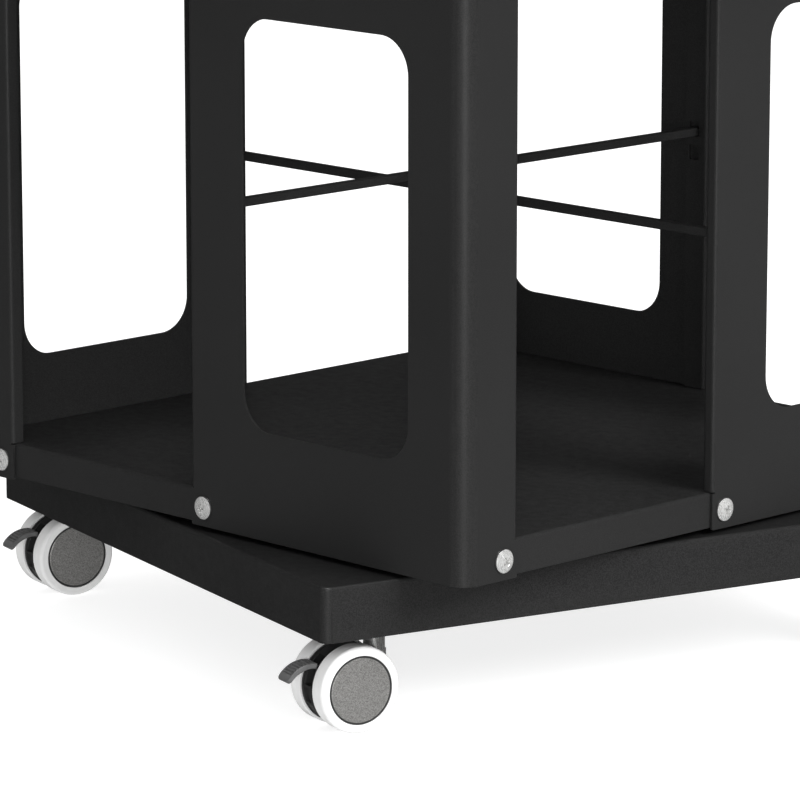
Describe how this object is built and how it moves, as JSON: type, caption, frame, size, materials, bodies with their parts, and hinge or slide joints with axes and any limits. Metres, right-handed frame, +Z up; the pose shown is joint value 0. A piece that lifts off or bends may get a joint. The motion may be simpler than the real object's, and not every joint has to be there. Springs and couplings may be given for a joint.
{
  "type": "revolving storage tower on casters",
  "caption": "Square revolving sheet-steel bookcase tower with windowed corner panels, on a ball-race turntable and a rolling base with braked casters.",
  "frame": {"origin": "on the floor, on the axis that the tower turns about", "axes": "+Z up; +X and +Y square to the tower's faces at rest, the base turned 15 degrees clockwise from them"},
  "size_m": [0.4826, 0.4936, 1.3868],
  "materials": {
    "black_steel": "fine matt black powder coat",
    "zinc_steel": "bright zinc plate",
    "race_steel": "rolled bearing steel",
    "housing_black": "moulded black nylon",
    "pedal_grey": "moulded grey nylon, ribbed",
    "wheel_white": "smooth white polyurethane",
    "hub_cap_grey": "metallic grey lacquer, fine flake"
  },
  "bodies": {
    "base": {"base_pan": "black_steel", "turntable_lower_race": "race_steel", "caster_front_right_stem": "zinc_steel", "caster_front_left_stem": "zinc_steel", "caster_rear_right_stem": "zinc_steel", "caster_rear_left_stem": "zinc_steel"},
    "ball_cage": {"turntable_ball_cage": "race_steel"},
    "tower": {"turntable_upper_race": "race_steel", "turntable_carrier_ring": "black_steel", "shelf_pan_1": "black_steel", "panel_1_front": "black_steel", "panel_1_right": "black_steel", "panel_1_back": "black_steel", "panel_1_left": "black_steel", "divider_rod_1_low": "black_steel", "divider_rod_1_high": "black_steel", "shelf_pan_2": "black_steel", "panel_2_front": "black_steel", "panel_2_right": "black_steel", "panel_2_back": "black_steel", "panel_2_left": "black_steel", "divider_rod_2_low": "black_steel", "divider_rod_2_high": "black_steel", "shelf_pan_3": "black_steel", "panel_3_front": "black_steel", "panel_3_right": "black_steel", "panel_3_back": "black_steel", "panel_3_left": "black_steel", "divider_rod_3_low": "black_steel", "divider_rod_3_high": "black_steel", "shelf_pan_4": "black_steel", "panel_4_front": "black_steel", "panel_4_right": "black_steel", "panel_4_back": "black_steel", "panel_4_left": "black_steel", "divider_rod_4_low": "black_steel", "divider_rod_4_high": "black_steel", "top_pan": "black_steel"},
    "caster_front_right_swivel": {"caster_front_right_housing": "housing_black", "caster_front_right_axle": "zinc_steel"},
    "caster_front_right_right_wheel": {"caster_front_right_wheel_right": "wheel_white"},
    "caster_front_right_left_wheel": {"caster_front_right_wheel_left": "wheel_white"},
    "caster_front_right_pedal": {"caster_front_right_brake_pedal": "pedal_grey"},
    "caster_front_left_swivel": {"caster_front_left_housing": "housing_black", "caster_front_left_axle": "zinc_steel"},
    "caster_front_left_right_wheel": {"caster_front_left_wheel_right": "wheel_white"},
    "caster_front_left_left_wheel": {"caster_front_left_wheel_left": "wheel_white"},
    "caster_front_left_pedal": {"caster_front_left_brake_pedal": "pedal_grey"},
    "caster_rear_right_swivel": {"caster_rear_right_housing": "housing_black", "caster_rear_right_axle": "zinc_steel"},
    "caster_rear_right_right_wheel": {"caster_rear_right_wheel_right": "wheel_white"},
    "caster_rear_right_left_wheel": {"caster_rear_right_wheel_left": "wheel_white"},
    "caster_rear_right_pedal": {"caster_rear_right_brake_pedal": "pedal_grey"},
    "caster_rear_left_swivel": {"caster_rear_left_housing": "housing_black", "caster_rear_left_axle": "zinc_steel"},
    "caster_rear_left_right_wheel": {"caster_rear_left_wheel_right": "wheel_white"},
    "caster_rear_left_left_wheel": {"caster_rear_left_wheel_left": "wheel_white"},
    "caster_rear_left_pedal": {"caster_rear_left_brake_pedal": "pedal_grey"}
  },
  "joints": [
    {"name": "tower_spin", "type": "hinge", "parent": "base", "child": "tower", "pos_m": [0, 0, 0.0833], "axis": [0, 0, 1], "continuous": true},
    {"name": "ball_cage_spin", "type": "hinge", "parent": "base", "child": "ball_cage", "pos_m": [0, 0, 0.0833], "axis": [0, 0, 1], "continuous": true},
    {"name": "caster_front_right_swivel_turn", "type": "hinge", "parent": "base", "child": "caster_front_right_swivel", "pos_m": [0.12628, -0.19327, 0.0378], "axis": [0, 0, 1], "continuous": true},
    {"name": "caster_front_right_wheel_right_roll", "type": "hinge", "parent": "caster_front_right_swivel", "child": "caster_front_right_right_wheel", "pos_m": [0.1217, -0.21037, 0.0235], "axis": [0.9659, -0.2588, 0], "continuous": true},
    {"name": "caster_front_right_wheel_left_roll", "type": "hinge", "parent": "caster_front_right_swivel", "child": "caster_front_right_left_wheel", "pos_m": [0.1217, -0.21037, 0.0235], "axis": [0.9659, -0.2588, 0], "continuous": true},
    {"name": "caster_front_right_brake_press", "type": "hinge", "parent": "caster_front_right_swivel", "child": "caster_front_right_pedal", "pos_m": [0.12007, -0.21645, 0.0283], "axis": [0.9659, -0.2588, 0], "range_deg": [0, 18]},
    {"name": "caster_front_left_swivel_turn", "type": "hinge", "parent": "base", "child": "caster_front_left_swivel", "pos_m": [-0.206, -0.10424, 0.0378], "axis": [0, 0, 1], "continuous": true},
    {"name": "caster_front_left_wheel_right_roll", "type": "hinge", "parent": "caster_front_left_swivel", "child": "caster_front_left_right_wheel", "pos_m": [-0.21058, -0.12133, 0.0235], "axis": [0.9659, -0.2588, 0], "continuous": true},
    {"name": "caster_front_left_wheel_left_roll", "type": "hinge", "parent": "caster_front_left_swivel", "child": "caster_front_left_left_wheel", "pos_m": [-0.21058, -0.12133, 0.0235], "axis": [0.9659, -0.2588, 0], "continuous": true},
    {"name": "caster_front_left_brake_press", "type": "hinge", "parent": "caster_front_left_swivel", "child": "caster_front_left_pedal", "pos_m": [-0.21221, -0.12742, 0.0283], "axis": [0.9659, -0.2588, 0], "range_deg": [0, 18]},
    {"name": "caster_rear_right_swivel_turn", "type": "hinge", "parent": "base", "child": "caster_rear_right_swivel", "pos_m": [0.206, 0.10424, 0.0378], "axis": [0, 0, 1], "continuous": true},
    {"name": "caster_rear_right_wheel_right_roll", "type": "hinge", "parent": "caster_rear_right_swivel", "child": "caster_rear_right_right_wheel", "pos_m": [0.21058, 0.12133, 0.0235], "axis": [-0.9659, 0.2588, 0], "continuous": true},
    {"name": "caster_rear_right_wheel_left_roll", "type": "hinge", "parent": "caster_rear_right_swivel", "child": "caster_rear_right_left_wheel", "pos_m": [0.21058, 0.12133, 0.0235], "axis": [-0.9659, 0.2588, 0], "continuous": true},
    {"name": "caster_rear_right_brake_press", "type": "hinge", "parent": "caster_rear_right_swivel", "child": "caster_rear_right_pedal", "pos_m": [0.21221, 0.12742, 0.0283], "axis": [-0.9659, 0.2588, 0], "range_deg": [0, 18]},
    {"name": "caster_rear_left_swivel_turn", "type": "hinge", "parent": "base", "child": "caster_rear_left_swivel", "pos_m": [-0.12628, 0.19327, 0.0378], "axis": [0, 0, 1], "continuous": true},
    {"name": "caster_rear_left_wheel_right_roll", "type": "hinge", "parent": "caster_rear_left_swivel", "child": "caster_rear_left_right_wheel", "pos_m": [-0.1217, 0.21037, 0.0235], "axis": [-0.9659, 0.2588, 0], "continuous": true},
    {"name": "caster_rear_left_wheel_left_roll", "type": "hinge", "parent": "caster_rear_left_swivel", "child": "caster_rear_left_left_wheel", "pos_m": [-0.1217, 0.21037, 0.0235], "axis": [-0.9659, 0.2588, 0], "continuous": true},
    {"name": "caster_rear_left_brake_press", "type": "hinge", "parent": "caster_rear_left_swivel", "child": "caster_rear_left_pedal", "pos_m": [-0.12007, 0.21645, 0.0283], "axis": [-0.9659, 0.2588, 0], "range_deg": [0, 18]}
  ],
  "couplings": [
    {"joint": "ball_cage_spin", "follows": "tower_spin", "ratio": 0.5}
  ]
}
